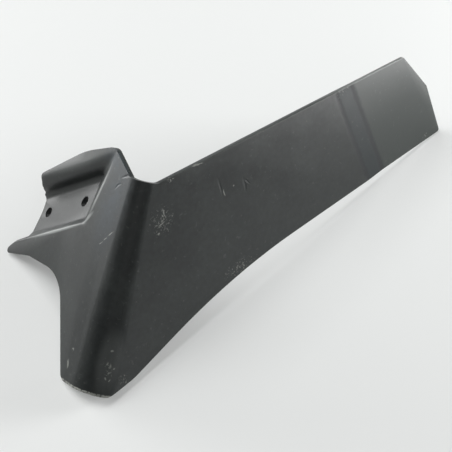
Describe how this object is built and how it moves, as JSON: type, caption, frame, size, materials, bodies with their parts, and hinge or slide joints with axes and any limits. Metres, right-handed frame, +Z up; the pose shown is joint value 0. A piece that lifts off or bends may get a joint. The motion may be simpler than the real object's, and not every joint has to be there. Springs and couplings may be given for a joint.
{
  "type": "cultivator wing share",
  "caption": "Folded plate steel wing share for a cultivator tine: long swept cutting blade, toe bend and a short leg with a pressed channel and bolt holes.",
  "frame": {"origin": "centre of the bounding box in plan, on the floor the share lies on", "axes": "+X along the leading edge from the toe to the tip, +Y from the leading edge back to the horn, +Z up from the floor"},
  "size_m": [0.5184, 0.2132, 0.1642],
  "materials": {
    "wing_share": "satin dark grey paint with worn edges and chips"
  },
  "bodies": {
    "root": {"wing_share": "wing_share"}
  },
  "joints": []
}
